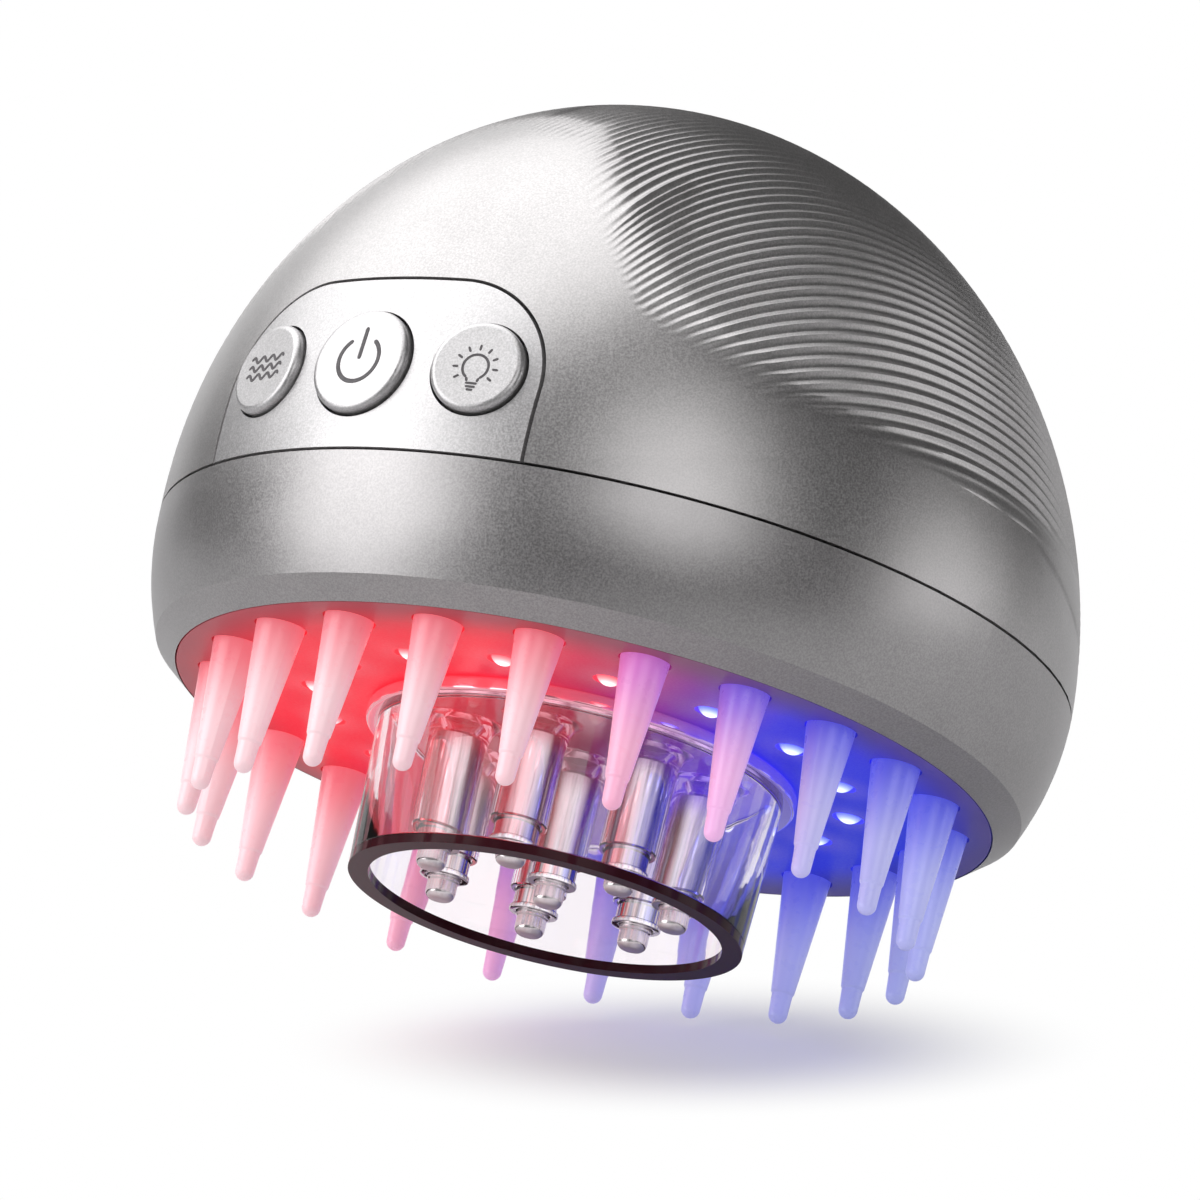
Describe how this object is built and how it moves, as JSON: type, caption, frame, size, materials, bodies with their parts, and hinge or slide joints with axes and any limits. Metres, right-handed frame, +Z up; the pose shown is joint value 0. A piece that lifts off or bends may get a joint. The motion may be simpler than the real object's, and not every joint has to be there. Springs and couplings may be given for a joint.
{
  "type": "light therapy hair growth comb",
  "caption": "Domed hand-held scalp comb with press buttons, a ring of soft teeth, red and blue lights and a clear serum applicator cup with sprung nozzles.",
  "frame": {"origin": "centre of the applicator cup's rim face, which the comb stands on", "axes": "+Z up the dome's axis, -Y towards the buttons, +X to the right when the buttons are seen"},
  "size_m": [0.0912, 0.0922, 0.08],
  "materials": {
    "silver_paint": "satin metallic silver-grey paint",
    "ring_paint": "satin metallic silver-grey paint",
    "clear_silicone": "matt, milky",
    "black_parts": "matt black",
    "circuit_board": "green lacquer",
    "frame_plastic": "matt dark grey",
    "base_plate": "satin, lit red and blue by the lights",
    "tooth_silicone": "milky translucent silicone",
    "red_light": "glowing red lens",
    "blue_light": "glowing blue lens",
    "clear_plastic": "clear, polished",
    "tinted_rim": "smoky tinted, polished",
    "tube_chrome": "polished",
    "tip_steel": "satin",
    "spring_steel": "bright",
    "tank_plastic": "translucent",
    "battery_sleeve": "film sleeve over a steel can",
    "lead_red": "insulated wire",
    "motor_steel": "plated",
    "weight_metal": "cast",
    "screw_steel": "zinc plated"
  },
  "bodies": {
    "body": {"upper_shell": "silver_paint", "control_panel": "silver_paint", "key_domes": "clear_silicone", "tact_switches": "black_parts", "switch_board": "circuit_board", "switch_bracket": "frame_plastic", "lower_ring": "ring_paint", "seam_gasket": "black_parts", "base_plate": "base_plate", "comb_ring": "tooth_silicone", "comb_teeth": "tooth_silicone", "light_board": "circuit_board", "red_leds": "red_light", "blue_leds": "blue_light", "serum_tank": "tank_plastic", "tank_pad": "black_parts", "frame_plate": "frame_plastic", "main_board": "circuit_board", "board_parts": "black_parts", "battery": "battery_sleeve", "battery_leads": "lead_red", "battery_cradle": "frame_plastic", "motor": "motor_steel", "motor_clamp": "frame_plastic", "charge_socket": "motor_steel", "charge_board": "circuit_board", "case_screws": "screw_steel", "frame_screws": "screw_steel"},
    "applicator": {"applicator_cup": "clear_plastic", "cup_rim": "tinted_rim", "nozzle_plate": "clear_plastic", "nozzle_sleeves": "clear_plastic", "cup_seal": "black_parts", "nozzle_tubes": "tube_chrome", "nozzle_spring_1": "spring_steel", "nozzle_spring_2": "spring_steel", "nozzle_spring_3": "spring_steel", "nozzle_spring_4": "spring_steel", "nozzle_spring_5": "spring_steel", "nozzle_spring_6": "spring_steel", "nozzle_spring_7": "spring_steel", "nozzle_spring_8": "spring_steel"},
    "wave_button": {"wave_button": "silver_paint"},
    "power_button": {"power_button": "silver_paint"},
    "light_button": {"light_button": "silver_paint"},
    "motor_weight": {"motor_weight": "weight_metal"},
    "nozzle_tip_1": {"nozzle_tip_1": "tip_steel"},
    "nozzle_tip_2": {"nozzle_tip_2": "tip_steel"},
    "nozzle_tip_3": {"nozzle_tip_3": "tip_steel"},
    "nozzle_tip_4": {"nozzle_tip_4": "tip_steel"},
    "nozzle_tip_5": {"nozzle_tip_5": "tip_steel"},
    "nozzle_tip_6": {"nozzle_tip_6": "tip_steel"},
    "nozzle_tip_7": {"nozzle_tip_7": "tip_steel"},
    "nozzle_tip_8": {"nozzle_tip_8": "tip_steel"}
  },
  "joints": [
    {"name": "wave_button_press", "type": "slide", "parent": "body", "child": "wave_button", "axis": [0.2777, 0.9559, -0.0958], "range_m": [0, 0.0007], "stiffness_N_per_m": 900, "springref_m": -0.0004, "deforming": ["key_domes"]},
    {"name": "power_button_press", "type": "slide", "parent": "body", "child": "power_button", "axis": [0, 0.9954, -0.0958], "range_m": [0, 0.0007], "stiffness_N_per_m": 900, "springref_m": -0.0004, "deforming": ["key_domes"]},
    {"name": "light_button_press", "type": "slide", "parent": "body", "child": "light_button", "axis": [-0.2777, 0.9559, -0.0958], "range_m": [0, 0.0007], "stiffness_N_per_m": 900, "springref_m": -0.0004, "deforming": ["key_domes"]},
    {"name": "motor_weight_spin", "type": "hinge", "parent": "body", "child": "motor_weight", "pos_m": [0.0108, 0.032, 0.0338], "axis": [1, 0, 0], "continuous": true},
    {"name": "applicator_pull", "type": "slide", "parent": "body", "child": "applicator", "axis": [0, 0, -1], "range_m": [0, 0.012]},
    {"name": "nozzle_tip_1_press", "type": "slide", "parent": "applicator", "child": "nozzle_tip_1", "axis": [0, 0, 1], "range_m": [0, 0.002], "stiffness_N_per_m": 150, "springref_m": -0.001, "deforming": ["nozzle_spring_1"]},
    {"name": "nozzle_tip_2_press", "type": "slide", "parent": "applicator", "child": "nozzle_tip_2", "axis": [0, 0, 1], "range_m": [0, 0.002], "stiffness_N_per_m": 150, "springref_m": -0.001, "deforming": ["nozzle_spring_2"]},
    {"name": "nozzle_tip_3_press", "type": "slide", "parent": "applicator", "child": "nozzle_tip_3", "axis": [0, 0, 1], "range_m": [0, 0.002], "stiffness_N_per_m": 150, "springref_m": -0.001, "deforming": ["nozzle_spring_3"]},
    {"name": "nozzle_tip_4_press", "type": "slide", "parent": "applicator", "child": "nozzle_tip_4", "axis": [0, 0, 1], "range_m": [0, 0.002], "stiffness_N_per_m": 150, "springref_m": -0.001, "deforming": ["nozzle_spring_4"]},
    {"name": "nozzle_tip_5_press", "type": "slide", "parent": "applicator", "child": "nozzle_tip_5", "axis": [0, 0, 1], "range_m": [0, 0.002], "stiffness_N_per_m": 150, "springref_m": -0.001, "deforming": ["nozzle_spring_5"]},
    {"name": "nozzle_tip_6_press", "type": "slide", "parent": "applicator", "child": "nozzle_tip_6", "axis": [0, 0, 1], "range_m": [0, 0.002], "stiffness_N_per_m": 150, "springref_m": -0.001, "deforming": ["nozzle_spring_6"]},
    {"name": "nozzle_tip_7_press", "type": "slide", "parent": "applicator", "child": "nozzle_tip_7", "axis": [0, 0, 1], "range_m": [0, 0.002], "stiffness_N_per_m": 150, "springref_m": -0.001, "deforming": ["nozzle_spring_7"]},
    {"name": "nozzle_tip_8_press", "type": "slide", "parent": "applicator", "child": "nozzle_tip_8", "axis": [0, 0, 1], "range_m": [0, 0.002], "stiffness_N_per_m": 150, "springref_m": -0.001, "deforming": ["nozzle_spring_8"]}
  ]
}
